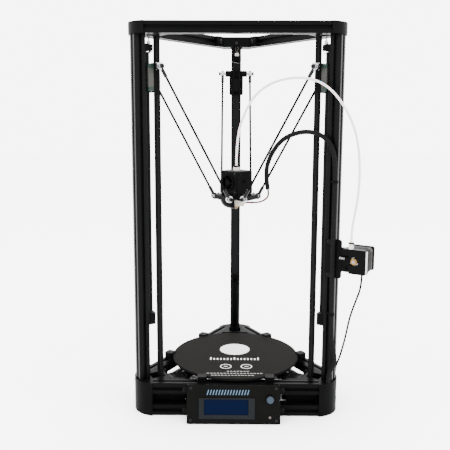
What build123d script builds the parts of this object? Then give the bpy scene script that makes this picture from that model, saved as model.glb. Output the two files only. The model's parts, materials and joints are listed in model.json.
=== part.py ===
from build123d import *
import os
from math import cos, pi, radians, sin, sqrt, tan

# A delta 3-D printer: three towers around a round bed, and an effector on six rods.
#
# The origin is on the ground, in the middle of the column triangle.  +Z is up and -Y is
# the front, where the display is.  Everything that a tower carries is drawn once, on the
# rear tower, where +Y points outwards, and is then turned to the other two.

os.makedirs("parts", exist_ok=True)

# ---- driving dimensions, in millimetres ----
HEIGHT = 680                # columns, and the whole machine
PROFILE = 20                # side of the aluminium extrusions
COLUMN_RADIUS = 192         # machine axis to the middle of a column
BEAM_LINE = 111             # machine axis to the middle line of a beam
BASE_HEIGHT = 60            # two beams and the gap between them
BASE_BEAM = 294             # length of a beam in the base
TOP_BEAM = 306              # length of a beam in the top
NOSE = 205                  # machine axis to the tip of a corner casting
CORNER_FACE = 123.5         # machine axis to a casting's face beside a beam
ARM_WALL = 5                # thickness of a casting's arm and inner wall
ARM_END = 91                # where an arm stops, along its side
WALL_Y = 148                # inner wall of a casting, where the motor is screwed

RAIL_WIDTH, RAIL_DEPTH = 12, 8
RAIL_LOW, RAIL_LENGTH = 182, 450
RAIL_PITCH = 25

BELT_Y, BELT_WIDTH = 158, 6
BELT_RADIUS, BELT_THICK = 6.37, 1.4
PULLEY_Z, IDLER_Z = 30, 668
BELT_GAP = 0.32             # pulley or idler to belt, so that turning parts stay clear

MOTOR_SIDE, MOTOR_LENGTH, MOTOR_SHAFT = 42.3, 40, 2.5
RUNNING_GAP = 0.05          # radial clearance of a shaft in its bore

BALL_HALF = 28              # half the distance between the two rods of a tower
BALL_RADIUS, SOCKET_RADIUS = 4.3, 4.6
RING_RADIUS, RING_HALF = 6.2, 2.4
EAR_END = 22                # where the ears of carriage and effector stop
CARRIAGE_BALL = (163.5, 608)     # distance from the axis, height
EFFECTOR_REACH = 31
ROD_LENGTH = 267
ROD_RADIUS = 2

BLOCK_LENGTH, BLOCK_WIDTH = 45.4, 27
BLOCK_Z = 590

BED_RADIUS = 120
BED_TOP = 68.4
PLATE_THICK, SHEET_THICK = 3, 1

SHROUD_SIDE = 42.8
SHROUD_LOW, SHROUD_HIGH = 383, 425
FAN_RADIUS = 12.5
NOZZLE_TIP = 352.5

PANEL_WIDTH, PANEL_HEIGHT, PANEL_THICK = 162, 66, 2.5
PANEL_TILT = 16
PANEL_MIDDLE = (-4, -145.3, 32.7)

EXTRUDER_Y, EXTRUDER_Z = 239, 284.5   # its motor's axis, on the right column
BRACKET_X, BRACKET_THICK = 10, 2.5
FILAMENT_X, FILAMENT_Y = 17, 232.6
FILAMENT_HOLE = 1.1

# ---- worked out from those ----
TOWERS = {"rear": 0, "left": 120, "right": -120}
COLUMN_INNER = COLUMN_RADIUS - PROFILE / 2
RAIL_FACE = COLUMN_INNER - RAIL_DEPTH
BEAM_INNER = BEAM_LINE - PROFILE / 2
ROD_RUN = CARRIAGE_BALL[0] - EFFECTOR_REACH
ROD_DROP = sqrt(ROD_LENGTH**2 - ROD_RUN**2)
EFFECTOR_Z = CARRIAGE_BALL[1] - ROD_DROP
BELT_INNER = BELT_RADIUS - BELT_THICK / 2
BRACKET_FRONT = BRACKET_X + BRACKET_THICK
LOW = (Align.CENTER, Align.CENTER, Align.MIN)


def save(shape, name):
    shape.label = name
    export_step(shape, f"parts/{name}.step")


def save_towers(shape, name):
    for tower, turn in TOWERS.items():
        save(Rotation(0, 0, turn) * shape, f"{name}_{tower}")


def outward(y, z, x=0):
    """A plane that faces away from the machine's axis, at a place on the rear tower."""
    return Plane(origin=(x, y, z), x_dir=(1, 0, 0), z_dir=(0, 1, 0))


def sideways(x, y=0, z=0):
    """A plane that faces +X, with its own X along +Y and its own Y up."""
    return Plane(origin=(x, y, z), x_dir=(0, 1, 0), z_dir=(1, 0, 0))


def side_point(distance, along):
    """A point beside the rear tower's right-hand beam: its distance from the machine's
    axis, and its place along the beam from the beam's middle."""
    slope = radians(30)
    return (distance * cos(slope) - along * sin(slope), distance * sin(slope) + along * cos(slope))


def mirrored(point):
    return (-point[0], point[1])


def right_tower(points):
    """Points of the right tower, given as x, y, z on the rear tower."""
    turn = radians(TOWERS["right"])
    return [(x * cos(turn) - y * sin(turn), x * sin(turn) + y * cos(turn), z) for x, y, z in points]


def cord(points, diameter, name):
    """A tube of straight runs joined by arcs as large as their two runs allow."""
    route = [Vector(*point) for point in points]
    radii = []
    for before, corner, after in zip(route, route[1:], route[2:]):
        shorter = min((corner - before).length, (after - corner).length)
        turn = (corner - before).get_angle(after - corner)
        radii.append(0.45 * shorter / tan(radians(turn) / 2))
    with BuildLine() as path:
        FilletPolyline(*route, radius=radii)
    with BuildPart() as tube:
        with BuildSketch(Plane(origin=route[0], z_dir=route[1] - route[0])):
            Circle(diameter / 2)
        sweep(path=path.line)
    length = sum(edge.length for edge in path.line.edges())
    section = pi * diameter**2 / 4
    print(f"{name}: length {length:.0f}, tightest radius {min(radii):.1f}, "
          f"volume over section times length {tube.part.volume / (section * length):.4f}")
    return tube.part


# ---- extrusions ----
SLOT = [(10.1, -3.1), (10.1, 3.1), (8.2, 3.1), (8.2, 5.5), (7.2, 5.5),
        (4.4, 2.7), (4.4, -2.7), (7.2, -5.5), (8.2, -5.5), (8.2, -3.1)]

with BuildSketch() as profile:
    RectangleRounded(PROFILE, PROFILE, 1)
    with PolarLocations(0, 4):
        Polygon(*SLOT, align=None, mode=Mode.SUBTRACT)
    Circle(2.1, mode=Mode.SUBTRACT)

with BuildPart() as columns:
    with BuildSketch():
        with PolarLocations(COLUMN_RADIUS, 3, start_angle=90):
            add(profile.sketch_local)
    extrude(amount=HEIGHT)
save(columns.part, "columns")

with BuildPart() as base_side:
    with BuildSketch(sideways(-BASE_BEAM / 2, -BEAM_LINE)):
        with Locations((0, PROFILE / 2), (0, BASE_HEIGHT - PROFILE / 2)):
            add(profile.sketch_local)
    extrude(amount=BASE_BEAM)

with BuildPart() as base_beams:
    with PolarLocations(0, 3):
        add(base_side.part)
save(base_beams.part, "base_beams")

with BuildPart() as top_side:
    with BuildSketch(sideways(-TOP_BEAM / 2, -BEAM_LINE, HEIGHT - PROFILE / 2)):
        add(profile.sketch_local)
    extrude(amount=TOP_BEAM)

with BuildPart() as top_beams:
    with PolarLocations(0, 3):
        add(top_side.part)
save(top_beams.part, "top_beams")


# ---- corner castings ----
def corner_outline(beam_length):
    """The plan of a corner casting: a round nose, two arms and the wall between them."""
    tip = side_point(CORNER_FACE, beam_length / 2)
    arm = BEAM_INNER - ARM_WALL
    inner_x = (arm - WALL_Y * sin(radians(30))) / cos(radians(30))
    right = [tip, side_point(BEAM_INNER, beam_length / 2), side_point(BEAM_INNER, ARM_END),
             side_point(arm, ARM_END), (inner_x, WALL_Y)]
    with BuildSketch() as outline:
        with BuildLine():
            ThreePointArc(mirrored(tip), (0, NOSE), tip)
            Polyline(*right, *[mirrored(point) for point in reversed(right)])
        make_face()
        with Locations((0, COLUMN_RADIUS)):
            Rectangle(PROFILE, PROFILE, mode=Mode.SUBTRACT)
        with Locations((0, (WALL_Y + ARM_WALL + COLUMN_INNER - 4) / 2)):
            Rectangle(24, COLUMN_INNER - 4 - WALL_Y - ARM_WALL, mode=Mode.SUBTRACT)
    return outline.sketch


with BuildPart() as base_corner:
    add(corner_outline(BASE_BEAM))
    extrude(amount=BASE_HEIGHT)
    with Locations(outward(WALL_Y + ARM_WALL, PULLEY_Z)):
        Hole(11.3, depth=ARM_WALL)
        with GridLocations(31, 31, 2, 2):
            Hole(1.6, depth=ARM_WALL)

PORT_MIDDLE, PORT_RADIUS, PORT_DEPTH = (188, -96, 31), 13, 7

with BuildPart() as base_vertices:
    with PolarLocations(0, 3):
        add(base_corner.part)
    with BuildSketch(sideways(*PORT_MIDDLE)):
        Circle(PORT_RADIUS)
    extrude(amount=PORT_DEPTH, both=True, mode=Mode.SUBTRACT)
save(base_vertices.part, "base_vertices")

with BuildPart() as top_corner:
    with BuildSketch(Plane.XY.offset(HEIGHT - PROFILE)):
        add(corner_outline(TOP_BEAM))
    extrude(amount=PROFILE)
    with Locations(outward(WALL_Y + ARM_WALL, IDLER_Z)):
        Hole(1.5, depth=ARM_WALL)

with BuildPart() as top_vertices:
    with PolarLocations(0, 3):
        add(top_corner.part)
save(top_vertices.part, "top_vertices")

# ---- linear rails and their stops ----
with BuildPart() as rail:
    with BuildSketch(Plane.XY.offset(RAIL_LOW)):
        with Locations((0, COLUMN_INNER - RAIL_DEPTH / 2)):
            Rectangle(RAIL_WIDTH, RAIL_DEPTH)
            with GridLocations(RAIL_WIDTH, 1, 2, 1):
                RegularPolygon(1.2, 4, mode=Mode.SUBTRACT)
    extrude(amount=RAIL_LENGTH)
    with Locations(Plane(origin=(0, RAIL_FACE, RAIL_LOW + RAIL_LENGTH / 2), z_dir=(0, -1, 0))):
        with GridLocations(1, RAIL_PITCH, 1, RAIL_LENGTH // RAIL_PITCH):
            CounterBoreHole(1.75, 3, 4.5, depth=RAIL_DEPTH)

with BuildPart() as linear_rails:
    with PolarLocations(0, 3):
        add(rail.part)
save(linear_rails.part, "linear_rails")

STOP_DEPTH, STOP_HEIGHT, STOP_TOP = 12, 21, RAIL_LOW - 1
STOP_MIDDLE = STOP_TOP - STOP_HEIGHT / 2

with BuildPart() as rail_stop:
    with BuildSketch(Plane.XY.offset(STOP_TOP - STOP_HEIGHT)):
        with Locations((0, COLUMN_INNER - STOP_DEPTH / 2)):
            RectangleRounded(PROFILE, STOP_DEPTH, 1.5)
    extrude(amount=STOP_HEIGHT)
    with BuildSketch(sideways(0, COLUMN_INNER - STOP_DEPTH / 2, STOP_MIDDLE)):
        with GridLocations(1, 7, 1, 2):
            Rectangle(STOP_DEPTH + 1, 2)
    extrude(amount=7, both=True, mode=Mode.SUBTRACT)
    with Locations(Plane(origin=(0, COLUMN_INNER - STOP_DEPTH, STOP_MIDDLE), z_dir=(0, -1, 0))):
        CounterBoreHole(1.6, 3, 3, depth=STOP_DEPTH)

with BuildPart() as rail_stops:
    with PolarLocations(0, 3):
        add(rail_stop.part)
save(rail_stops.part, "rail_stops")

# ---- tower motors, belts, pulleys and idlers ----
with BuildPart() as tower_motor:
    with BuildSketch(outward(WALL_Y, PULLEY_Z)) as motor_face:
        Rectangle(MOTOR_SIDE, MOTOR_SIDE)
        chamfer(motor_face.vertices(), 4)
    extrude(amount=-MOTOR_LENGTH)
    with BuildSketch(outward(WALL_Y, PULLEY_Z)):
        Circle(11)
    extrude(amount=2)
    with Locations(outward(WALL_Y + 2, PULLEY_Z)):
        Hole(MOTOR_SHAFT + RUNNING_GAP, depth=12)

with BuildPart() as stepper_motors:
    with PolarLocations(0, 3):
        add(tower_motor.part)
save(stepper_motors.part, "stepper_motors")

with BuildPart() as belt:
    with BuildSketch(outward(BELT_Y - BELT_WIDTH / 2, (PULLEY_Z + IDLER_Z) / 2)):
        SlotCenterToCenter(IDLER_Z - PULLEY_Z, 2 * BELT_RADIUS + BELT_THICK, rotation=90)
        SlotCenterToCenter(IDLER_Z - PULLEY_Z, 2 * BELT_INNER, rotation=90, mode=Mode.SUBTRACT)
    extrude(amount=BELT_WIDTH)

with BuildPart() as drive_belts:
    with PolarLocations(0, 3):
        add(belt.part)
save(drive_belts.part, "drive_belts")

FLANGE = 1
FLANGE_RADIUS = 8
DRUM_HALF = BELT_WIDTH / 2 + 0.3
HUB_END = 169
SHAFT_START, SHAFT_END = 139, 172

with BuildPart() as drive_pulley:
    with BuildSketch(outward(BELT_Y - DRUM_HALF - FLANGE, PULLEY_Z)):
        Circle(FLANGE_RADIUS)
    extrude(amount=FLANGE)
    with BuildSketch(outward(BELT_Y - DRUM_HALF, PULLEY_Z)):
        Circle(BELT_INNER - BELT_GAP)
    extrude(amount=2 * DRUM_HALF)
    with BuildSketch(outward(BELT_Y + DRUM_HALF, PULLEY_Z)):
        Circle(FLANGE_RADIUS)
    extrude(amount=HUB_END - BELT_Y - DRUM_HALF)
    with Locations(outward(HUB_END, PULLEY_Z)):
        Hole(MOTOR_SHAFT)

with BuildPart() as drive_shaft:
    with BuildSketch(outward(SHAFT_START, PULLEY_Z)):
        Circle(MOTOR_SHAFT)
    extrude(amount=SHAFT_END - SHAFT_START)
save_towers(Compound(children=[drive_pulley.part, drive_shaft.part]), "drive_pulley")

IDLER_BOLT = 1.5

with BuildPart() as idler:
    with BuildSketch(outward(BELT_Y - DRUM_HALF - FLANGE, IDLER_Z)):
        Circle(FLANGE_RADIUS)
    extrude(amount=2 * (DRUM_HALF + FLANGE))
    with BuildSketch(outward(BELT_Y - DRUM_HALF, IDLER_Z)):
        Circle(FLANGE_RADIUS)
        Circle(BELT_INNER - BELT_GAP, mode=Mode.SUBTRACT)
    extrude(amount=2 * DRUM_HALF, mode=Mode.SUBTRACT)
    with Locations(outward(BELT_Y + DRUM_HALF + FLANGE, IDLER_Z)):
        Hole(IDLER_BOLT + RUNNING_GAP)
save_towers(idler.part, "idler")

# ---- ball studs, which the rod ends turn on ----
NECK_RADIUS = 2.9
STUD_BASE, HEAD_START, HEAD_END, HEAD_RADIUS = BALL_HALF - EAR_END, 4.4, 7.8, 3.5
BALL_EDGE = sqrt(BALL_RADIUS**2 - NECK_RADIUS**2)

with BuildPart() as ball_stud:
    with BuildSketch(Plane.XZ):
        with BuildLine():
            Polyline((-STUD_BASE, 0), (-STUD_BASE, NECK_RADIUS), (-BALL_EDGE, NECK_RADIUS))
            ThreePointArc((-BALL_EDGE, NECK_RADIUS), (0, BALL_RADIUS), (BALL_EDGE, NECK_RADIUS))
            Polyline((BALL_EDGE, NECK_RADIUS), (HEAD_START, NECK_RADIUS), (HEAD_START, HEAD_RADIUS),
                     (HEAD_END, HEAD_RADIUS), (HEAD_END, 0), (-STUD_BASE, 0))
        make_face()
    revolve(axis=Axis.X)
    with BuildSketch(sideways(HEAD_END)):
        RegularPolygon(1.7, 6)
    extrude(amount=-2, mode=Mode.SUBTRACT)


def stud_pair(y, z):
    """The two ball studs of one tower, with their balls at a distance and a height."""
    right = Plane(origin=(BALL_HALF, y, z)) * ball_stud.part
    return [right, mirror(right, about=Plane.YZ)]


# ---- rods: a carbon tube with a ring end at each ball ----
END_LENGTH, END_RADIUS = 20, 3

with BuildPart() as rod_tube:
    with BuildSketch(Plane.XY.offset(END_LENGTH)):
        Circle(ROD_RADIUS)
    extrude(amount=ROD_LENGTH - 2 * END_LENGTH)

with BuildPart() as rod_end:
    with BuildSketch(sideways(-RING_HALF)):
        Circle(RING_RADIUS)
    extrude(amount=2 * RING_HALF)
    with BuildSketch():
        Circle(END_RADIUS)
    extrude(amount=END_LENGTH)
    Sphere(SOCKET_RADIUS, mode=Mode.SUBTRACT)

far_end = Plane(origin=(0, 0, ROD_LENGTH), x_dir=(1, 0, 0), z_dir=(0, 0, -1)) * rod_end.part
arm_rod = Compound(children=[rod_tube.part, rod_end.part, far_end])

for tower, turn in TOWERS.items():
    for side, offset in {"a": -BALL_HALF, "b": BALL_HALF}.items():
        ball = Plane(origin=(offset, *CARRIAGE_BALL), x_dir=(1, 0, 0), z_dir=(0, -ROD_RUN, -ROD_DROP))
        save(Rotation(0, 0, turn) * ball.location * arm_rod, f"arm_rod_{tower}_{side}")

# ---- carriages ----
SLIDE_GAP = 0.2
BLOCK_DEPTH = 10
BLOCK_FACE = COLUMN_INNER - 13      # the face that the adapter is screwed to

with BuildPart() as carriage_block:
    with BuildSketch(Plane.XY.offset(BLOCK_Z - BLOCK_LENGTH / 2)):
        with Locations((0, BLOCK_FACE + BLOCK_DEPTH / 2)):
            RectangleRounded(BLOCK_WIDTH, BLOCK_DEPTH, 0.8)
        with Locations((0, COLUMN_INNER)):
            Rectangle(RAIL_WIDTH + 2 * SLIDE_GAP, 2 * (RAIL_DEPTH + SLIDE_GAP), mode=Mode.SUBTRACT)
    extrude(amount=BLOCK_LENGTH)
    for seam in (BLOCK_LENGTH / 2 - 7.5, 7 - BLOCK_LENGTH / 2):
        with BuildSketch(Plane.XY.offset(BLOCK_Z + seam)):
            with Locations((0, BLOCK_FACE + BLOCK_DEPTH / 2)):
                Rectangle(BLOCK_WIDTH, BLOCK_DEPTH)
                Rectangle(BLOCK_WIDTH - 0.8, BLOCK_DEPTH - 0.8, mode=Mode.SUBTRACT)
            with Locations((0, COLUMN_INNER)):
                Rectangle(RAIL_WIDTH + 6, 2 * RAIL_DEPTH + 4, mode=Mode.SUBTRACT)
        extrude(amount=0.5, mode=Mode.SUBTRACT)
save_towers(carriage_block.part, "carriage_block")

ADAPTER_LOW, ADAPTER_HIGH, ADAPTER_BACK = 565, 614, 161.8
EAR_HEIGHT = 12

with BuildPart() as adapter:
    with BuildSketch(outward(ADAPTER_BACK, (ADAPTER_LOW + ADAPTER_HIGH) / 2)):
        RectangleRounded(BLOCK_WIDTH + 1, ADAPTER_HIGH - ADAPTER_LOW, 3)
    extrude(amount=BLOCK_FACE - ADAPTER_BACK)
    with BuildSketch(outward(ADAPTER_BACK, CARRIAGE_BALL[1])):
        Rectangle(2 * EAR_END, EAR_HEIGHT)
    extrude(amount=BLOCK_FACE - ADAPTER_BACK)
    for side in (-1, 1):
        with BuildSketch(sideways(side * 9, *CARRIAGE_BALL)):
            Ellipse(5.4, EAR_HEIGHT / 2)
        extrude(amount=side * (EAR_END - 9))
    with BuildSketch(outward(154, 585)):
        RectangleRounded(10.2, 26, 2)
    extrude(amount=ADAPTER_BACK - 154)
    with Locations(Plane(origin=(0, ADAPTER_BACK, BLOCK_Z - 4), z_dir=(0, -1, 0))):
        with GridLocations(20, 20, 2, 2):
            CounterBoreHole(1.6, 3, 3.2, depth=BLOCK_FACE - ADAPTER_BACK)
save_towers(Compound(children=[adapter.part, *stud_pair(*CARRIAGE_BALL)]), "carriage_adapter")

# ---- effector ----
PLATFORM_THICK = 8

with BuildPart() as effector_platform:
    with BuildSketch(Plane.XY.offset(EFFECTOR_Z - PLATFORM_THICK / 2)) as platform_plan:
        with PolarLocations(0, 3):
            with Locations((0, EFFECTOR_REACH / 2 + 2)):
                Rectangle(2 * EAR_END, EFFECTOR_REACH + 4)
        fillet(platform_plan.vertices().filter_by(lambda v: v.center().length > 30), 3)
        Circle(12.5, mode=Mode.SUBTRACT)
        with PolarLocations(24, 6, start_angle=30):
            Circle(1.6, mode=Mode.SUBTRACT)
    extrude(amount=PLATFORM_THICK)
save(effector_platform.part, "effector_platform")

with BuildPart() as effector_studs:
    with PolarLocations(0, 3):
        add(stud_pair(EFFECTOR_REACH, EFFECTOR_Z))
save(effector_studs.part, "effector_studs")

# The shroud is a square box, turned by 45 degrees, with the fan in its front left wall.
SHROUD_WALL = 2
FAN_Z = (SHROUD_LOW + SHROUD_HIGH) / 2
FITTING_RADIUS = 5.8
PLATFORM_TOP = EFFECTOR_Z + PLATFORM_THICK / 2
FAN_FACE = Plane(origin=(0, 0, FAN_Z), x_dir=(sin(radians(45)), -cos(radians(45)), 0),
                 z_dir=(-cos(radians(45)), -sin(radians(45)), 0))

with BuildPart() as shroud:
    with BuildSketch(Plane.XY.offset(SHROUD_LOW)):
        RectangleRounded(SHROUD_SIDE, SHROUD_SIDE, 3, rotation=45)
    extrude(amount=SHROUD_HIGH - SHROUD_LOW)
    chamfer(shroud.faces().sort_by(Axis.Z)[-1].edges(), 1.5)
    with BuildSketch(Plane.XY.offset(SHROUD_LOW)):
        RectangleRounded(SHROUD_SIDE - 2 * SHROUD_WALL, SHROUD_SIDE - 2 * SHROUD_WALL, 2, rotation=45)
    extrude(amount=SHROUD_HIGH - SHROUD_LOW - SHROUD_WALL, mode=Mode.SUBTRACT)
    with BuildSketch(FAN_FACE.offset(SHROUD_SIDE / 2)):
        Circle(FAN_RADIUS + 2.5)
    extrude(amount=2)
    with BuildSketch(FAN_FACE.offset(SHROUD_SIDE / 2 - SHROUD_WALL)):
        Circle(FAN_RADIUS + 0.7)
        Circle(5, mode=Mode.SUBTRACT)
        with PolarLocations(0, 3):
            Rectangle(20, 1.6, align=(Align.MIN, Align.CENTER), mode=Mode.SUBTRACT)
    extrude(amount=SHROUD_WALL + 3, mode=Mode.SUBTRACT)
    with BuildSketch(FAN_FACE.offset(SHROUD_SIDE / 2 - 6)):
        Circle(1)
    extrude(amount=6)
    with BuildSketch(FAN_FACE.offset(-SHROUD_SIDE / 2)):
        with GridLocations(1, 7, 1, 4):
            Rectangle(26, 3)
    extrude(amount=SHROUD_WALL, mode=Mode.SUBTRACT)
    with BuildSketch(Plane.XY.offset(PLATFORM_TOP)):
        with PolarLocations(24, 4):
            Circle(3)
    extrude(amount=SHROUD_LOW + 3 - PLATFORM_TOP)
    with Locations((0, 0, SHROUD_HIGH)):
        Hole(FITTING_RADIUS + 0.3, depth=SHROUD_WALL + 1)

with BuildPart() as duct:
    with BuildSketch(Plane.XZ):
        with BuildLine():
            ThreePointArc((30, 372), (25, 360.5), (12, 355.5))
            Polyline((12, 355.5), (12, 359), (24, 369), (24, 372), (30, 372))
        make_face()
    revolve(axis=Axis.Z, revolution_arc=70)

save(Compound(children=[shroud.part, duct.part.rotate(Axis.Z, 192)]), "hotend_shroud")

HEATSINK_RADIUS, HEATSINK_LOW, HEATSINK_TOP = 11, 386, 423

with BuildPart() as heatsink:
    with BuildSketch(Plane.XY.offset(HEATSINK_LOW)):
        Circle(4.5)
    extrude(amount=HEATSINK_TOP - HEATSINK_LOW)
    for fin in range(11):
        with BuildSketch(Plane.XY.offset(HEATSINK_LOW + 3 * fin)):
            Circle(HEATSINK_RADIUS)
        extrude(amount=1.4)

with BuildPart() as heater:
    with BuildSketch(Plane.XY.offset(370)):
        Circle(3)
    extrude(amount=HEATSINK_LOW - 370)
    with BuildSketch(Plane.XY.offset(359)):
        with Locations((4, 0)):
            Rectangle(22, 16)
    extrude(amount=11)
    with BuildSketch(Plane.XY.offset(356)):
        RegularPolygon(4, 6)
    extrude(amount=3)
    with BuildSketch(Plane.XY.offset(NOZZLE_TIP)):
        Circle(0.6)
    with BuildSketch(Plane.XY.offset(356)):
        Circle(3.4)
    loft()
save(Compound(children=[heatsink.part, heater.part]), "hotend")

with BuildPart() as effector_fitting:
    with BuildSketch(Plane.XY.offset(HEATSINK_TOP)):
        Circle(FITTING_RADIUS)
    extrude(amount=8)
    with BuildSketch(Plane.XY.offset(HEATSINK_TOP + 8)):
        Circle(4.6)
    extrude(amount=3)
save(effector_fitting.part, "effector_fitting")

with BuildPart() as fan_rotor:
    with BuildSketch(FAN_FACE.offset(SHROUD_SIDE / 2 - 6.5)):
        Circle(5)
    extrude(amount=4)
    for blade in range(7):
        with BuildSketch(FAN_FACE.offset(SHROUD_SIDE / 2 - 6)):
            with Locations(Rotation(0, 0, blade * 360 / 7)):
                Polygon((4, -2.4), (FAN_RADIUS - 0.3, -1), (FAN_RADIUS - 0.3, 3.2), (4, 1.6), align=None)
        extrude(amount=2.4)
    with Locations(FAN_FACE.offset(SHROUD_SIDE / 2 - 2.5)):
        Hole(1 + RUNNING_GAP)
save(fan_rotor.part, "fan_rotor")

# ---- end stops ----
SWITCH_MIDDLE, SWITCH_WIDTH, SWITCH_HEIGHT = 639, 20, 10
SWITCH_FRONT, SWITCH_BACK = 169, 175
HINGE_X, HINGE_Z, HINGE_PIN = -8, 632.3, 0.6
LEVER_FRONT, LEVER_WIDTH = 170.5, 3

with BuildPart() as endstop:
    with BuildSketch(outward(SWITCH_FRONT, SWITCH_MIDDLE)):
        Rectangle(SWITCH_WIDTH, SWITCH_HEIGHT)
    extrude(amount=SWITCH_BACK - SWITCH_FRONT)
    with BuildSketch(outward(SWITCH_BACK - 1.3, HINGE_Z, HINGE_X)):
        Rectangle(3, 6)
    extrude(amount=1.3)
    with BuildSketch(outward(LEVER_FRONT - 0.5, HINGE_Z, HINGE_X)):
        Circle(HINGE_PIN)
    extrude(amount=SWITCH_BACK - LEVER_FRONT)

with BuildPart() as endstop_holder:
    with BuildSketch(outward(SWITCH_BACK, SWITCH_MIDDLE)):
        Rectangle(SWITCH_WIDTH - 2, SWITCH_HEIGHT + 2)
    extrude(amount=COLUMN_INNER - SWITCH_BACK)

with BuildPart() as endstop_switches:
    with PolarLocations(0, 3):
        add(endstop.part)
        add(endstop_holder.part)
save(endstop_switches.part, "endstop_switches")

with BuildPart() as endstop_lever:
    with BuildSketch(Plane(origin=(0, LEVER_FRONT, 0), x_dir=(1, 0, 0), z_dir=(0, -1, 0))):
        Polygon((HINGE_X, 632), (9, 628.4), (9.4, 628.8), (HINGE_X, 632.6), align=None)
        with Locations((HINGE_X, HINGE_Z)):
            Circle(1.2)
            Circle(HINGE_PIN + RUNNING_GAP, mode=Mode.SUBTRACT)
    extrude(amount=-LEVER_WIDTH)
save_towers(endstop_lever.part, "endstop_lever")

# ---- bed ----
with BuildPart() as heated_bed:
    with BuildSketch(Plane.XY.offset(BED_TOP - SHEET_THICK - PLATE_THICK)):
        Circle(BED_RADIUS)
    extrude(amount=PLATE_THICK)
save(heated_bed.part, "heated_bed")

with BuildPart() as build_surface:
    with BuildSketch(Plane.XY.offset(BED_TOP - SHEET_THICK)):
        Circle(BED_RADIUS - 0.5)
    extrude(amount=SHEET_THICK)
save(build_surface.part, "build_surface")

CLIP_ALONG, CLIP_SIDE, CLIP_TOP = 60, 16, 71

with BuildPart() as bed_clips:
    with BuildSketch(Plane.XY.offset(BASE_HEIGHT)):
        with PolarLocations(0, 3):
            with Locations((CLIP_ALONG, -BEAM_LINE), (-CLIP_ALONG, -BEAM_LINE)):
                RectangleRounded(CLIP_SIDE, CLIP_SIDE, 2)
    extrude(amount=CLIP_TOP - BASE_HEIGHT)
    with BuildSketch(Plane.XY.offset(BED_TOP - SHEET_THICK - PLATE_THICK)):
        Circle(BED_RADIUS)
    extrude(amount=SHEET_THICK + PLATE_THICK, mode=Mode.SUBTRACT)
save(bed_clips.part, "bed_clips")

# ---- display unit, on a panel that leans back ----
lean = radians(PANEL_TILT)
PANEL = Plane(origin=PANEL_MIDDLE, x_dir=(1, 0, 0), z_dir=(0, -cos(lean), sin(lean)))
BEZEL_AT, BEZEL_SIZE = (-11.5, -6.9), (97, 35.4)
WINDOW_AT, WINDOW_SIZE = (-12.5, -4.4), (77, 26)
KNOB_AT, KNOB_RADIUS, KNOB_LENGTH = (63, 9.7), 7, 12
BUTTON_AT, BUTTON_RADIUS = (63, -21.5), 2.2
PANEL_HOLES = GridLocations(PANEL_WIDTH - 14, PANEL_HEIGHT - 12, 2, 2)

with BuildPart() as panel_plate:
    with BuildSketch(PANEL):
        RectangleRounded(PANEL_WIDTH, PANEL_HEIGHT, 1.5)
        with Locations(BEZEL_AT):
            Rectangle(*BEZEL_SIZE, mode=Mode.SUBTRACT)
        with Locations(KNOB_AT):
            Circle(4, mode=Mode.SUBTRACT)
        with Locations(BUTTON_AT):
            Circle(BUTTON_RADIUS + 0.3, mode=Mode.SUBTRACT)
        with PANEL_HOLES:
            Circle(1.5, mode=Mode.SUBTRACT)
    extrude(amount=-PANEL_THICK)

BEAM_FRONT = -BEAM_LINE - PROFILE / 2
BRACKET_TAB = 9
BRACKET_SHEET = 2


def panel_bracket(side):
    """A sheet that runs from the panel's edge back to the beams, where it turns outwards."""
    edge = PANEL_MIDDLE[0] + side * PANEL_WIDTH / 2
    back_top = PANEL_MIDDLE[1] + PANEL_HEIGHT / 2 * sin(lean) + PANEL_THICK
    back_low = PANEL_MIDDLE[1] - PANEL_HEIGHT / 2 * sin(lean) + PANEL_THICK
    with BuildPart() as bracket:
        with BuildSketch(sideways(edge)):
            Polygon((BEAM_FRONT, 3), (BEAM_FRONT, 60), (back_top + 0.4, 60), (back_low + 1.6, 3), align=None)
        extrude(amount=-side * BRACKET_SHEET)
        with BuildSketch(sideways(edge)):
            with Locations((BEAM_FRONT - BRACKET_SHEET / 2, 50)):
                Rectangle(BRACKET_SHEET, 18)
            with Locations((BEAM_FRONT - BRACKET_SHEET / 2, 12)):
                Rectangle(BRACKET_SHEET, 18)
        extrude(amount=side * BRACKET_TAB)
    return bracket.part


save(Compound(children=[panel_plate.part, panel_bracket(-1), panel_bracket(1)]), "display_housing")

with BuildPart() as display_bezel:
    with BuildSketch(PANEL.offset(-PANEL_THICK)):
        with Locations(BEZEL_AT):
            Rectangle(*BEZEL_SIZE)
        with Locations(WINDOW_AT):
            Rectangle(*WINDOW_SIZE, mode=Mode.SUBTRACT)
    extrude(amount=PANEL_THICK + 2.5)
    chamfer(display_bezel.faces().sort_by(Axis.Y)[0].edges(), 0.8)
save(display_bezel.part, "display_bezel")

with BuildPart() as display_screen:
    with BuildSketch(PANEL.offset(-PANEL_THICK)):
        with Locations(WINDOW_AT):
            Rectangle(*WINDOW_SIZE)
    extrude(amount=PANEL_THICK + 1)
save(display_screen.part, "display_screen")

SHAFT_RADIUS = 3

with BuildPart() as encoder_shaft:
    with BuildSketch(PANEL.offset(-PANEL_THICK - 5)):
        with Locations(KNOB_AT):
            Circle(SHAFT_RADIUS)
    extrude(amount=PANEL_THICK + 15)
save(encoder_shaft.part, "encoder_shaft")

with BuildPart() as display_knob:
    with BuildSketch(PANEL.offset(1.2)):
        with Locations(KNOB_AT):
            Circle(KNOB_RADIUS)
    extrude(amount=KNOB_LENGTH)
    chamfer(display_knob.faces().sort_by(Axis.Y)[0].edges(), 0.8)
    with BuildSketch(PANEL.offset(1.2)):
        with Locations(KNOB_AT):
            Circle(SHAFT_RADIUS + RUNNING_GAP)
    extrude(amount=10, mode=Mode.SUBTRACT)
save(display_knob.part, "display_knob")

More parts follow.
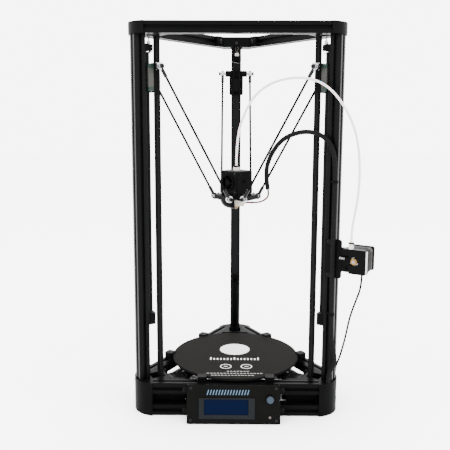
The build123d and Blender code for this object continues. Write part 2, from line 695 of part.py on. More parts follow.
with BuildPart() as reset_button:
    with BuildSketch(PANEL.offset(-PANEL_THICK - 1)):
        with Locations(BUTTON_AT):
            Circle(BUTTON_RADIUS)
    extrude(amount=PANEL_THICK + 2.5)
save(reset_button.part, "reset_button")

# ---- electronics: a tray in the base, with the main board, and the display's board ----
TRAY_HALF, TRAY_BACK, TRAY_SHEET = 45, 12, 2
STANDOFFS = [(-36, -88), (36, -88), (-36, -24), (36, -24)]

with BuildPart() as electronics_tray:
    with BuildSketch():
        with Locations((0, (TRAY_BACK - BEAM_INNER) / 2)):
            Rectangle(2 * TRAY_HALF, TRAY_BACK + BEAM_INNER)
    extrude(amount=TRAY_SHEET)
    with BuildSketch():
        with Locations((0, -BEAM_INNER + TRAY_SHEET / 2)):
            Rectangle(2 * TRAY_HALF, TRAY_SHEET)
    extrude(amount=PROFILE)
    with BuildSketch(Plane.XY.offset(TRAY_SHEET)):
        with Locations(*STANDOFFS):
            Circle(3)
    extrude(amount=6)
save(electronics_tray.part, "electronics_tray")

with BuildPart() as mainboard:
    with BuildSketch(Plane.XY.offset(TRAY_SHEET + 6)):
        with Locations((0, -56)):
            Rectangle(82, 74)
    extrude(amount=1.6)
    with BuildSketch(Plane.XY.offset(TRAY_SHEET + 7.6)):
        with Locations((-14, -50)):
            Rectangle(14, 14)
        with Locations((0, -86)):
            Rectangle(60, 8)
        with Locations((34, -50)):
            Rectangle(9, 40)
        with GridLocations(14, 1, 4, 1):
            with Locations((-4, -28)):
                Rectangle(9, 9)
    extrude(amount=7)

with BuildPart() as display_board:
    with BuildSketch(PANEL.offset(-PANEL_THICK - 6)):
        with Locations((4, -2)):
            Rectangle(148, 54)
        with Locations(KNOB_AT):
            Circle(SHAFT_RADIUS + 0.8, mode=Mode.SUBTRACT)
    extrude(amount=-1.6)
    with BuildSketch(PANEL.offset(-PANEL_THICK - 6)):
        with Locations(BEZEL_AT):
            Rectangle(90, 30)
        with Locations(BUTTON_AT):
            Circle(1.2)
    extrude(amount=4)
    with BuildSketch(PANEL.offset(-PANEL_THICK - 6)):
        with Locations(KNOB_AT):
            Rectangle(12, 13)
            Circle(SHAFT_RADIUS + RUNNING_GAP, mode=Mode.SUBTRACT)
    extrude(amount=5)
save(Compound(children=[mainboard.part, display_board.part]), "circuit_boards")

# ---- extruder, on the right column's front face: drawn on the rear tower, then turned ----
LEVER_GAP = 0.3
LEVER_LOW, LEVER_TOP, LEVER_RIGHT = 266, 292.5, 229.4
LEVER_PIN = (223.5, 270.5)
BEARING_AT, BEARING_RADIUS = (225.5, 284.5), 6.4
BODY_THICK = 9
HALF = MOTOR_SIDE / 2


def save_right(shape, name):
    save(Rotation(0, 0, TOWERS["right"]) * shape, name)


with BuildPart() as extruder_bracket:
    with BuildSketch(sideways(BRACKET_X)):
        with Locations((199, 284)):
            RectangleRounded(30, 68, 4)
        with Locations(((214 + EXTRUDER_Y + HALF) / 2 - 4, EXTRUDER_Z)):
            Rectangle(EXTRUDER_Y + HALF - 206, MOTOR_SIDE)
        with Locations((EXTRUDER_Y, EXTRUDER_Z)):
            Circle(11.3, mode=Mode.SUBTRACT)
            with GridLocations(31, 31, 2, 2):
                Circle(1.6, mode=Mode.SUBTRACT)
    extrude(amount=BRACKET_THICK)
    with BuildSketch(sideways(BRACKET_FRONT)):
        with Locations(LEVER_PIN):
            Circle(2)
    extrude(amount=8)
save_right(extruder_bracket.part, "extruder_bracket")

with BuildPart() as extruder_motor:
    with BuildSketch(sideways(BRACKET_X, EXTRUDER_Y, EXTRUDER_Z)) as extruder_motor_face:
        Rectangle(MOTOR_SIDE, MOTOR_SIDE)
        chamfer(extruder_motor_face.vertices(), 4)
    extrude(amount=-38)
    with BuildSketch(sideways(BRACKET_X, EXTRUDER_Y, EXTRUDER_Z)):
        Circle(11)
    extrude(amount=2)
    with Locations(sideways(BRACKET_X + 2, EXTRUDER_Y, EXTRUDER_Z)):
        Hole(MOTOR_SHAFT + RUNNING_GAP, depth=12)
    with BuildSketch(sideways(-27)):
        with Locations((240, EXTRUDER_Z - HALF - 4)):
            Rectangle(16, 8)
    extrude(amount=12)
save_right(extruder_motor.part, "extruder_motor")

with BuildPart() as extruder_body:
    with BuildSketch(sideways(BRACKET_FRONT, EXTRUDER_Y, EXTRUDER_Z)) as body_face:
        Rectangle(MOTOR_SIDE, MOTOR_SIDE)
        fillet(body_face.vertices(), 3)
    extrude(amount=BODY_THICK)
    with BuildSketch(sideways(BRACKET_FRONT)):
        with Locations((EXTRUDER_Y - HALF, EXTRUDER_Z - HALF)):
            Rectangle(LEVER_RIGHT + 0.8 - EXTRUDER_Y + HALF, LEVER_TOP + 2 - EXTRUDER_Z + HALF,
                      align=(Align.MIN, Align.MIN))
        with Locations((EXTRUDER_Y, EXTRUDER_Z)):
            Circle(8)
        with Locations(BEARING_AT):
            Circle(BEARING_RADIUS + 1.2)
    extrude(amount=BODY_THICK, mode=Mode.SUBTRACT)
    with Locations((FILAMENT_X, FILAMENT_Y, EXTRUDER_Z + HALF)):
        Hole(FILAMENT_HOLE)
save_right(extruder_body.part, "extruder_body")

GEAR_RADIUS = 5.5
GEAR_START, GEAR_END = 14, 20.5

with BuildPart() as hobbed_gear:
    with BuildSketch(sideways(GEAR_START, EXTRUDER_Y, EXTRUDER_Z)):
        Circle(GEAR_RADIUS)
        with PolarLocations(GEAR_RADIUS, 24):
            Circle(0.35, mode=Mode.SUBTRACT)
    extrude(amount=GEAR_END - GEAR_START)
    with Locations(sideways(GEAR_END, EXTRUDER_Y, EXTRUDER_Z)):
        Hole(MOTOR_SHAFT)

with BuildPart() as extruder_shaft:
    with BuildSketch(sideways(1, EXTRUDER_Y, EXTRUDER_Z)):
        Circle(MOTOR_SHAFT)
    extrude(amount=21)
save_right(Compound(children=[hobbed_gear.part, extruder_shaft.part]), "extruder_gear")

with BuildPart() as lever_arm:
    with BuildSketch(sideways(BRACKET_FRONT + LEVER_GAP)):
        Polygon((218.5, LEVER_LOW), (LEVER_RIGHT, LEVER_LOW), (LEVER_RIGHT, 277), (227.5, 280),
                (227.5, 288.5), (LEVER_RIGHT, 290), (LEVER_RIGHT, LEVER_TOP), (213, LEVER_TOP),
                (213, 287), (218.5, 284), align=None)
        with Locations(LEVER_PIN):
            Circle(2 + RUNNING_GAP, mode=Mode.SUBTRACT)
    extrude(amount=3)
    with BuildSketch(sideways(BRACKET_FRONT + LEVER_GAP)):
        with Locations(BEARING_AT):
            Circle(1.5)
    extrude(amount=8)

with BuildPart() as lever_bearing:
    with BuildSketch(sideways(BRACKET_FRONT + LEVER_GAP + 3)):
        with Locations(BEARING_AT):
            Circle(BEARING_RADIUS)
            Circle(1.5, mode=Mode.SUBTRACT)
    extrude(amount=4)
save_right(Compound(children=[lever_arm.part, lever_bearing.part]), "extruder_lever")

with BuildPart() as extruder_fitting:
    with BuildSketch(Plane.XY.offset(EXTRUDER_Z + HALF)):
        with Locations((FILAMENT_X, FILAMENT_Y)):
            RegularPolygon(4.6, 6)
    extrude(amount=6)
    with BuildSketch(Plane.XY.offset(EXTRUDER_Z + HALF + 6)):
        with Locations((FILAMENT_X, FILAMENT_Y)):
            Circle(3.4)
    extrude(amount=3)
    with BuildSketch(Plane.XY.offset(EXTRUDER_Z + HALF + 9)):
        with Locations((FILAMENT_X, FILAMENT_Y)):
            Circle(5)
    extrude(amount=2)
    with Locations((FILAMENT_X, FILAMENT_Y, EXTRUDER_Z + HALF + 11)):
        Hole(FILAMENT_HOLE)
save_right(extruder_fitting.part, "extruder_fitting")

# ---- cords ----
BOWDEN_DIAMETER, LOOM_DIAMETER, CABLE_DIAMETER, WIRES_DIAMETER = 4, 8, 3.5, 3.6

fitting_x, fitting_y, fitting_z = right_tower([(FILAMENT_X, FILAMENT_Y, EXTRUDER_Z + HALF + 11)])[0]
BOWDEN_ROUTE = [(0, 0, HEATSINK_TOP + 11), (0, 0, 476), (10, -12, 522), (31, -36, 563),
                (62, -68, 585), (105, -105, 592), (145, -123, 580), (178, -127, 541),
                (197, -129, 497), (203.5, -130, 447), (202.5, -131, 400), (197, -131, 363),
                (fitting_x, fitting_y, 338), (fitting_x, fitting_y, fitting_z)]
save(cord(BOWDEN_ROUTE, BOWDEN_DIAMETER, "bowden_tube"), "bowden_tube")

LOOM_ROUTE = [(58, -13.3, 391.5), (52.8, -14.1, 421.4), (60, -31, 455), (80, -54, 487),
              (111, -82, 501), (139, -102, 498), (158.5, -111.5, 480)]
LOOM_DOWN = right_tower([(14.6, 200, 447), (14.5, 200, 365), (17.3, 200, 325), (17.3, 200.2, 245),
                         (14.5, 200, 205), (14.6, 200, 165), (14.9, 201.5, 136), (15.5, 208, 114),
                         (16, 208.5, 95), (16, 198, 78), (16, 198, BASE_HEIGHT)])
save(cord(LOOM_ROUTE + LOOM_DOWN, LOOM_DIAMETER, "wiring_loom"), "wiring_loom")

CABLE_ROUTE = right_tower([(-21, 240, EXTRUDER_Z - HALF - 8), (-21, 240, 232), (-18, 232.5, 208),
                           (-14, 223, 176), (-10.5, 219, 146), (-9.5, 213.5, 120),
                           (-11.5, 206.5, 96), (-15.3, 198, 77), (-15.3, 198, BASE_HEIGHT)])
save(cord(CABLE_ROUTE, CABLE_DIAMETER, "extruder_cable"), "extruder_cable")

WIRES_ROUTE = [(15, -4, 365), (27, -4, 365), (41, -15, 363.5), (54, -18, 369.5),
               (60.08, -12.98, 379.54), LOOM_ROUTE[0]]
save(cord(WIRES_ROUTE, WIRES_DIAMETER, "hotend_wires"), "hotend_wires")

CLIP_HEIGHTS = (415, 183)

with BuildPart() as loom_clips:
    for height in CLIP_HEIGHTS:
        with BuildSketch(Plane.XY.offset(height)):
            with Locations((14.55, 200)):
                Circle(LOOM_DIAMETER / 2 + 1.2)
            with Locations((10.9, 194)):
                Rectangle(1.8, 12)
            with Locations((14.55, 200)):
                Circle(LOOM_DIAMETER / 2 + 0.1, mode=Mode.SUBTRACT)
            with Locations((5, 200)):
                Rectangle(10, 20, mode=Mode.SUBTRACT)
        extrude(amount=4)
save_right(loom_clips.part, "loom_clips")

# ---- screws: one node of identical button heads, and the idler bolts ----
SCREW_RADIUS, SCREW_HEIGHT = 4.2, 2.6
ARM_SCREW = 102             # place of a screw along a casting's arm

with BuildPart() as button_screw:
    Cylinder(SCREW_RADIUS, SCREW_HEIGHT, align=LOW)
    fillet(button_screw.faces().sort_by(Axis.Z)[-1].edges(), 1.4)
    with BuildSketch(Plane.XY.offset(SCREW_HEIGHT)):
        RegularPolygon(1.7, 6)
    extrude(amount=-1.6, mode=Mode.SUBTRACT)


def arm_screw_planes(heights):
    """Where screws stand on the inner faces of a casting's two arms."""
    x, y = side_point(BEAM_INNER - ARM_WALL, ARM_SCREW)
    planes = []
    for height in heights:
        for side in (-1, 1):
            inward = (-side * cos(radians(30)), -sin(radians(30)), 0)
            planes.append(Plane(origin=(side * x, y, height), x_dir=(0, 0, 1), z_dir=inward))
    return planes


def turned(plane, turn):
    return Plane(Location((0, 0, 0), (0, 0, 1), turn) * plane.location)


corner_screws = arm_screw_planes((PROFILE / 2, BASE_HEIGHT - PROFILE / 2, HEIGHT - PROFILE / 2))
bracket_screws = [sideways(BRACKET_FRONT, COLUMN_RADIUS, height) for height in (255, 313)]
panel_ends = [PANEL_MIDDLE[0] + side * (PANEL_WIDTH / 2 + 5) for side in (-1, 1)]
panel_screws = [Plane(origin=(x, BEAM_FRONT - BRACKET_SHEET, height), z_dir=(0, -1, 0))
                for x in panel_ends for height in (12, 50)]

with BuildPart() as frame_screws:
    with Locations(*[turned(plane, turn) for plane in corner_screws for turn in TOWERS.values()]):
        add(button_screw.part)
    with Locations(*[turned(plane, TOWERS["right"]) for plane in bracket_screws]):
        add(button_screw.part)
    with Locations(*panel_screws):
        add(button_screw.part)

with BuildPart() as idler_bolt:
    with BuildSketch(outward(WALL_Y - 3, IDLER_Z)):
        Circle(3)
    extrude(amount=3)
    with BuildSketch(outward(WALL_Y, IDLER_Z)):
        Circle(IDLER_BOLT)
    extrude(amount=COLUMN_INNER - 4 - WALL_Y)

bolts = [idler_bolt.part.rotate(Axis.Z, turn) for turn in TOWERS.values()]
save(Compound(children=[frame_screws.part, *bolts]), "frame_screws")
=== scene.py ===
import json
import math
import bmesh
import bpy
from mathutils import Matrix, Vector

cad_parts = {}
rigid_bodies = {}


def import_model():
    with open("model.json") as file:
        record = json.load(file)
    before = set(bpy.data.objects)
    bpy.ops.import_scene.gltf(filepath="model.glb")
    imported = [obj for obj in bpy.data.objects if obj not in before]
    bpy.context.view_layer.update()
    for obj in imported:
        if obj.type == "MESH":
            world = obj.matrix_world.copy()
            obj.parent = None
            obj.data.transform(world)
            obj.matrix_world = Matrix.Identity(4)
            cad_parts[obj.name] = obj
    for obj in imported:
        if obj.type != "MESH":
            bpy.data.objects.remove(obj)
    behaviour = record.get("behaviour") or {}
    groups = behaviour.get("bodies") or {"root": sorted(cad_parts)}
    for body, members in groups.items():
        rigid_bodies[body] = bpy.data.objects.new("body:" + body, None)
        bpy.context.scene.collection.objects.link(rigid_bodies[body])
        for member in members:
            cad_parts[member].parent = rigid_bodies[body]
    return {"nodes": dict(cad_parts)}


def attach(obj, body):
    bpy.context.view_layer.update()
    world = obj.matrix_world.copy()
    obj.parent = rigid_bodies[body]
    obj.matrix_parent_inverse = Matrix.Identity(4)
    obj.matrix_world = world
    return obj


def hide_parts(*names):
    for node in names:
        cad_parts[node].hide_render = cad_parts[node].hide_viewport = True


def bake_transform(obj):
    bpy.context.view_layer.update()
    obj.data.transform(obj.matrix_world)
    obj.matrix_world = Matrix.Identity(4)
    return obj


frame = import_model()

# A delta 3-D printer.  Lengths are written in millimetres, as in the CAD source, and turned
# to metres by mm().  What a tower carries is placed on the rear tower, then turned.

for stray in [o for o in bpy.data.objects if o.name in ("Cube", "Light", "Camera")]:
    bpy.data.objects.remove(stray)

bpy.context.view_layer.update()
nodes = frame["nodes"]
TOWERS = {"rear": 0, "left": 120, "right": -120}


def mm(*point):
    return Vector(point) / 1000


def turned(degrees):
    return Matrix.Rotation(math.radians(degrees), 4, "Z")


def placed(origin, z_axis, x_axis):
    """The matrix of a local frame with its origin, Z and X given in millimetres and directions."""
    z = Vector(z_axis).normalized()
    x = Vector(x_axis)
    x = (x - z * x.dot(z)).normalized()
    matrix = Matrix((x, z.cross(x), z)).transposed().to_4x4()
    matrix.translation = mm(*origin)
    return matrix


# ---- materials ----
def node(tree, kind, **inputs):
    made = tree.nodes.new("ShaderNode" + kind)
    for key, value in inputs.items():
        made.inputs[key.replace("_", " ")].default_value = value
    return made


def math_node(tree, operation, first, second=0.0):
    made = tree.nodes.new("ShaderNodeMath")
    made.operation = operation
    for socket, value in zip(made.inputs, (first, second)):
        if hasattr(value, "links"):
            tree.links.new(value, socket)
        else:
            socket.default_value = value
    return made.outputs[0]


def ramp(tree, fac, low, high, start=0.3, end=0.7):
    made = tree.nodes.new("ShaderNodeValToRGB")
    made.color_ramp.elements[0].position = start
    made.color_ramp.elements[1].position = end
    made.color_ramp.elements[0].color = (*low, 1)
    made.color_ramp.elements[1].color = (*high, 1)
    tree.links.new(fac, made.inputs[0])
    return made.outputs[0]


def surface(name, colour, rough, metal=0.0, grain=1500, shade=0.3, bump=0.2, depth=0.05,
            stretch=(1, 1, 1), **fixed):
    """A grained finish: colour and roughness vary at two scales, and fine noise gives the bump."""
    made = bpy.data.materials.new(name)
    made.use_nodes = True
    tree = made.node_tree
    shader = tree.nodes["Principled BSDF"]
    shader.inputs["Metallic"].default_value = metal
    for key, value in fixed.items():
        shader.inputs[key.replace("_", " ")].default_value = value
    place = tree.nodes.new("ShaderNodeTexCoord").outputs["Object"]
    scaled = node(tree, "Mapping", Scale=stretch)
    tree.links.new(place, scaled.inputs[0])
    fine = node(tree, "TexNoise", Scale=grain, Detail=4)
    broad = node(tree, "TexNoise", Scale=25, Detail=3)
    tree.links.new(scaled.outputs[0], fine.inputs["Vector"])
    tree.links.new(place, broad.inputs["Vector"])
    both = math_node(tree, "MULTIPLY_ADD", fine.outputs[0], 0.6)
    tree.links.new(math_node(tree, "MULTIPLY", broad.outputs[0], 0.4), both.node.inputs[2])
    dark = [c * (1 - shade) for c in colour]
    light = [min(1, c * (1 + shade)) for c in colour]
    tree.links.new(ramp(tree, both, dark, light), shader.inputs["Base Color"])
    spread = tree.nodes.new("ShaderNodeMapRange")
    tree.links.new(both, spread.inputs["Value"])
    spread.inputs["From Min"].default_value = 0.3
    spread.inputs["From Max"].default_value = 0.7
    spread.inputs["To Min"].default_value = max(0.03, rough - 0.07)
    spread.inputs["To Max"].default_value = min(1, rough + 0.07)
    tree.links.new(spread.outputs[0], shader.inputs["Roughness"])
    relief = node(tree, "Bump", Strength=bump, Distance=depth / 1000)
    tree.links.new(fine.outputs[0], relief.inputs["Height"])
    tree.links.new(relief.outputs[0], shader.inputs["Normal"])
    return made


def patterned(material, fac, low, high, bump=0.4, depth=0.2, start=0.35, end=0.65):
    """Draws a pattern over a finish: its colour, and its relief in millimetres."""
    tree = material.node_tree
    shader = tree.nodes["Principled BSDF"]
    tree.links.new(ramp(tree, fac, low, high, start, end), shader.inputs["Base Color"])
    relief = node(tree, "Bump", Strength=bump, Distance=depth / 1000)
    tree.links.new(fac, relief.inputs["Height"])
    tree.links.new(relief.outputs[0], shader.inputs["Normal"])
    return material


def waves(tree, values, steps, coordinate="Object"):
    """A product of sine waves, from 0 to 1: each a sum of the coordinates times its steps."""
    place = tree.nodes.new("ShaderNodeTexCoord").outputs[coordinate]
    parts = tree.nodes.new("ShaderNodeSeparateXYZ")
    tree.links.new(place, parts.inputs[0])
    total = None
    for wave in values:
        phase = 0.0
        for axis, step in zip(range(3), wave):
            if step:
                term = math_node(tree, "MULTIPLY", parts.outputs[axis], 2 * math.pi * steps * step)
                phase = math_node(tree, "ADD", term, phase)
        sine = math_node(tree, "SINE", phase)
        total = sine if total is None else math_node(tree, "MULTIPLY", sine, total)
    return math_node(tree, "ADD", math_node(tree, "MULTIPLY", total, 0.5), 0.5)


anodised = surface("black_anodised", (0.0013, 0.0013, 0.0014), 0.34, 0, 900, 0.4, 0.12, 0.03,
                   Specular_IOR_Level=0.012)
anodised_up = surface("black_anodised_drawn_up", (0.0013, 0.0013, 0.0014), 0.3, 0, 2600, 0.45, 0.2, 0.03,
                      (1, 1, 0.012), Specular_IOR_Level=0.025)
plastic = surface("black_moulded_plastic", (0.0012, 0.0012, 0.0013), 0.4, 0, 2200, 0.35, 0.25, 0.06,
                  Specular_IOR_Level=0.01)
printed = surface("black_ribbed_plastic", (0.0015, 0.0015, 0.0016), 0.5, 0, 1800, 0.35, 0.3, 0.06,
                  Specular_IOR_Level=0.01)
painted = surface("black_painted_sheet", (0.0016, 0.0016, 0.0015), 0.42, 0, 1400, 0.35, 0.3, 0.05,
                  Specular_IOR_Level=0.012)
rail_steel = surface("dark_rail_steel", (0.004, 0.004, 0.0043), 0.34, 0.3, 2500, 0.25, 0.15, 0.02, (1, 1, 0.02),
                     Specular_IOR_Level=0.012)
steel = surface("ground_steel", (0.12, 0.12, 0.12), 0.3, 1, 2500, 0.15, 0.12, 0.02)
block_steel = surface("brushed_block_steel", (0.022, 0.022, 0.02), 0.4, 0.5, 2500, 0.25, 0.2, 0.03,
                      (1, 1, 0.05), Specular_IOR_Level=0.1)
chrome = surface("polished_chrome", (0.24, 0.24, 0.25), 0.16, 1, 1200, 0.12, 0.05, 0.01)
socket_steel = surface("dark_socket_steel", (0.002, 0.002, 0.0022), 0.35, 0.2, 2500, 0.3, 0.15, 0.02,
                       Specular_IOR_Level=0.1)
aluminium = surface("turned_aluminium", (0.2, 0.2, 0.2), 0.33, 1, 2200, 0.15, 0.15, 0.02)
green_plastic = surface("green_end_cap", (0.0012, 0.007, 0.0045), 0.4, 0, 2500, 0.25, 0.2, 0.05,
                        Specular_IOR_Level=0.15)
bed_metal = surface("bed_coated_metal", (0.003, 0.003, 0.003), 0.45, 0, 1600, 0.3, 0.2, 0.03,
                    Specular_IOR_Level=0.01)
bed_sheet = surface("bed_pebbled_sheet", (0.0042, 0.004, 0.0038), 0.6, 0, 1300, 0.35, 0.5, 0.12,
                    Specular_IOR_Level=0.004)
white_print = surface("white_print", (0.4, 0.39, 0.39), 0.55, 0, 1300, 0.08, 0.4, 0.08)
blue_print = surface("blue_print", (0.012, 0.05, 0.09), 0.45, 0, 1300, 0.12, 0.2, 0.04)
bezel_metal = surface("bezel_satin_metal", (0.0032, 0.0038, 0.0042), 0.35, 0, 2000, 0.3, 0.15, 0.02,
                      Specular_IOR_Level=0.03)
knob_metal = surface("knob_blue_metal", (0.006, 0.012, 0.02), 0.32, 0.7, 2500, 0.4, 0.15, 0.02)
board_mask = surface("board_green_mask", (0.004, 0.03, 0.012), 0.3, 0, 700, 0.5, 0.3, 0.05)
brass = surface("hobbed_brass", (0.12, 0.065, 0.02), 0.28, 1, 2500, 0.2, 0.15, 0.02)
white_plastic = surface("white_moulded_plastic", (0.34, 0.33, 0.31), 0.35, 0, 2000, 0.06, 0.12, 0.03)
red_plastic = surface("red_button_plastic", (0.012, 0.0015, 0.003), 0.35, 0, 2000, 0.2, 0.1, 0.03)
tube_plastic = surface("milky_tube", (0.42, 0.38, 0.38), 0.3, 0, 600, 0.06, 0.1, 0.03,
                       Subsurface_Weight=0.35, Subsurface_Scale=0.002, Coat_Weight=0.3)
cable_jacket = surface("black_cable_jacket", (0.002, 0.002, 0.0022), 0.55, 0, 1500, 0.3, 0.2, 0.05,
                      Specular_IOR_Level=0.0)
insulation = surface("white_insulation", (0.32, 0.29, 0.25), 0.8, 0, 900, 0.25, 0.6, 0.3)
wire_jackets = [surface(f"wire_jacket_{label}", colour, 0.4, 0, 1500, 0.2, 0.15, 0.03,
                        Specular_IOR_Level=0.03)
                for label, colour in (("red", (0.1, 0.006, 0.008)), ("purple", (0.04, 0.008, 0.02)),
                                      ("tan", (0.09, 0.06, 0.04)), ("grey", (0.06, 0.055, 0.05)),
                                      ("dark", (0.006, 0.006, 0.006)))]

belt_teeth = surface("toothed_belt", (0.012, 0.012, 0.012), 0.6, 0, 2500, Specular_IOR_Level=0.01)
tooth = waves(belt_teeth.node_tree, [(0, 0, 1)], 500)
patterned(belt_teeth, tooth, (0.001, 0.001, 0.001), (0.005, 0.005, 0.005), 0.6, 0.4)

carbon = surface("carbon_tube", (0.01, 0.01, 0.01), 0.45, 0.0, 1500, Specular_IOR_Level=0.0)
twill = waves(carbon.node_tree, [(1, 0.4, 1), (-1, 0.4, 1)], 420)
patterned(carbon, twill, (0.001, 0.001, 0.0011), (0.004, 0.004, 0.0042), 0.25, 0.05)

braid = surface("braided_sleeve", (0.02, 0.02, 0.02), 0.55, 0, 1500, Specular_IOR_Level=0.01)
weave = waves(braid.node_tree, [(12, 230, 0), (12, -230, 0)], 1, "UV")
patterned(braid, weave, (0.0007, 0.0007, 0.0007), (0.007, 0.007, 0.007), 0.9, 0.5, 0.3, 0.75)

window = surface("blue_display_window", (0.008, 0.03, 0.11), 0.25, 0, 900, 0.15, 0.02, 0.01,
                 Specular_IOR_Level=0.01)
cells = waves(window.node_tree, [(1, 0, 0), (0, 0, 1)], 260)
patterned(window, cells, (0.0004, 0.0014, 0.0065), (0.0005, 0.0018, 0.0085), 0.0, 0.0, 0.2, 0.8)

laminations = surface("motor_laminations", (0.008, 0.007, 0.007), 0.5, 0.3, 1800, Specular_IOR_Level=0.05)
plates = waves(laminations.node_tree, [(-0.5, -0.866, 0)], 800)
patterned(laminations, plates, (0.003, 0.0027, 0.0027), (0.011, 0.0095, 0.009), 0.4, 0.2)


def assign(name, *materials):
    nodes[name].data.materials.clear()
    for material in materials:
        nodes[name].data.materials.append(material)


def paint(name, materials, choose):
    """Gives each face of a CAD node one of the materials, by the face's middle in millimetres."""
    assign(name, *materials)
    for face in nodes[name].data.polygons:
        face.material_index = choose(face.center * 1000, face.normal)


# ---- mesh helpers ----
def piece(name, mesh, body, material, matrix=None, sharp=35):
    """Makes an object of a bmesh, placed by a matrix, and puts it on its body."""
    data = bpy.data.meshes.new(name)
    bmesh.ops.recalc_face_normals(mesh, faces=mesh.faces)
    mesh.to_mesh(data)
    mesh.free()
    for item in material if isinstance(material, (list, tuple)) else [material]:
        data.materials.append(item)
    data.polygons.foreach_set("use_smooth", [True] * len(data.polygons))
    data.set_sharp_from_angle(angle=math.radians(sharp))
    made = bpy.data.objects.new(name, data)
    bpy.context.scene.collection.objects.link(made)
    if matrix is not None:
        data.transform(matrix)
    if body:
        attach(made, body)
    return made


def lathe(mesh, outline, turns=32, ridges=0, ridge_depth=0.0, place=Matrix.Identity(4), index=0):
    """Revolves an outline of (radius, height) in millimetres round Z; ridges knurl it."""
    rings = []
    for radius, height in outline:
        ring = []
        for step in range(turns):
            angle = 2 * math.pi * step / turns
            lift = ridge_depth * math.cos(ridges * angle) if ridges and radius > 1 else 0
            ring.append(mesh.verts.new(place @ mm((radius + lift) * math.cos(angle),
                                                   (radius + lift) * math.sin(angle), height)))
        rings.append(ring)
    faces = []
    for low, high in zip(rings, rings[1:]):
        for step in range(turns):
            following = (step + 1) % turns
            faces.append(mesh.faces.new((low[step], low[following], high[following], high[step])))
    faces.append(mesh.faces.new(rings[0][::-1]))
    faces.append(mesh.faces.new(rings[-1]))
    for face in faces:
        face.material_index = index


def rounded_box(mesh, size, middle, radius=0.6, place=Matrix.Identity(4), index=0, segments=2):
    """A box with rounded edges, its size and middle in millimetres."""
    made = bmesh.ops.create_cube(mesh, size=1)["verts"]
    for vertex in made:
        vertex.co = mm(*[c * s + m for c, s, m in zip(vertex.co, size, middle)])
    edges = {edge for vertex in made for edge in vertex.link_edges}
    faces = {face for vertex in made for face in vertex.link_faces}
    result = bmesh.ops.bevel(mesh, geom=list(edges), offset=radius / 1000, segments=segments,
                             affect="EDGES", profile=0.5)
    faces = set(result["faces"]) | {face for face in faces if face.is_valid}
    vertices = {vertex for face in faces for vertex in face.verts}
    for face in faces:
        face.material_index = index
    bmesh.ops.transform(mesh, matrix=place, verts=list(vertices))


def spline_points(name, route):
    """The points of the smooth NURBS line whose control points are the route, in metres."""
    data = bpy.data.curves.new(name, "CURVE")
    data.dimensions = "3D"
    line = data.splines.new("NURBS")
    line.points.add(len(route) - 1)
    for control, point in zip(line.points, route):
        control.co = (*mm(*point), 1)
    line.order_u = 3
    line.use_endpoint_u = True
    line.resolution_u = 12
    holder = bpy.data.objects.new(name, data)
    bpy.context.scene.collection.objects.link(holder)
    bpy.context.view_layer.update()
    mesh = bpy.data.meshes.new_from_object(holder.evaluated_get(bpy.context.evaluated_depsgraph_get()))
    points = [vertex.co.copy() for vertex in mesh.vertices]
    bpy.data.objects.remove(holder)
    return points


def run_length(points):
    return sum((b - a).length for a, b in zip(points, points[1:]))


def tube(mesh, points, radius, sides=16, index=0):
    """A tube round a line of points, in metres, with a UV that counts turns and metres."""
    layer = mesh.loops.layers.uv.verify()
    across = (points[1] - points[0]).orthogonal().normalized()
    rings, along = [], 0
    for place, point in enumerate(points):
        ahead = (points[min(place + 1, len(points) - 1)] - points[max(place - 1, 0)]).normalized()
        across = (across - ahead * across.dot(ahead)).normalized()
        beside = ahead.cross(across)
        if place:
            along += (point - points[place - 1]).length
        ring = []
        for step in range(sides):
            angle = 2 * math.pi * step / sides
            outward = across * math.cos(angle) + beside * math.sin(angle)
            ring.append(mesh.verts.new(point + outward * radius))
        rings.append((ring, along))
    for (low, start), (high, end) in zip(rings, rings[1:]):
        for step in range(sides):
            following = (step + 1) % sides
            face = mesh.faces.new((low[step], low[following], high[following], high[step]))
            face.material_index = index
            corners = ((step, start), (step + 1, start), (step + 1, end), (step, end))
            for loop, (turn, length) in zip(face.loops, corners):
                loop[layer].uv = (turn / sides, length)
    for ring in (rings[0][0][::-1], rings[-1][0]):
        mesh.faces.new(ring).material_index = index


# ---- cords ----
FILAMENT_X, FILAMENT_Y, FITTING_TOP = 17, 232.6, 316.65


def right_tower(points):
    turn = math.radians(TOWERS["right"])
    return [(x * math.cos(turn) - y * math.sin(turn), x * math.sin(turn) + y * math.cos(turn), z)
            for x, y, z in points]


fitting = right_tower([(FILAMENT_X, FILAMENT_Y, FITTING_TOP)])[0]
BOWDEN_ROUTE = [(0, 0, 434), (0, 0, 476), (10, -12, 522), (31, -36, 563), (62, -68, 585),
                (105, -105, 592), (145, -123, 580), (178, -127, 541), (197, -129, 497),
                (203.5, -130, 447), (202.5, -131, 400), (197, -131, 363),
                (fitting[0], fitting[1], 338), fitting]
LOOM_ROUTE = [(58, -13.3, 391.5), (52.8, -14.1, 421.4), (60, -31, 455), (80, -54, 487),
              (111, -82, 501), (139, -102, 498), (158.5, -111.5, 480)]
LOOM_DOWN = right_tower([(14.6, 200, 447), (14.5, 200, 365), (17.3, 200, 325), (17.3, 200.2, 245),
                         (14.5, 200, 205), (14.6, 200, 165), (14.9, 201.5, 136), (15.5, 208, 114),
                         (16, 208.5, 95), (16, 198, 78), (16, 198, 60)])
CABLE_ROUTE = right_tower([(-21, 240, 255.35), (-21, 240, 232), (-18, 232.5, 208), (-14, 223, 176),
                           (-10.5, 219, 146), (-9.5, 213.5, 120), (-11.5, 206.5, 96),
                           (-15.3, 198, 77), (-15.3, 198, 60)])
WIRES_ROUTE = [(15, -4, 365), (27, -6, 366), (40, -21, 368), (52, -25, 373),
               (60.5, -16, 381), (58, -13.3, 391.5)]


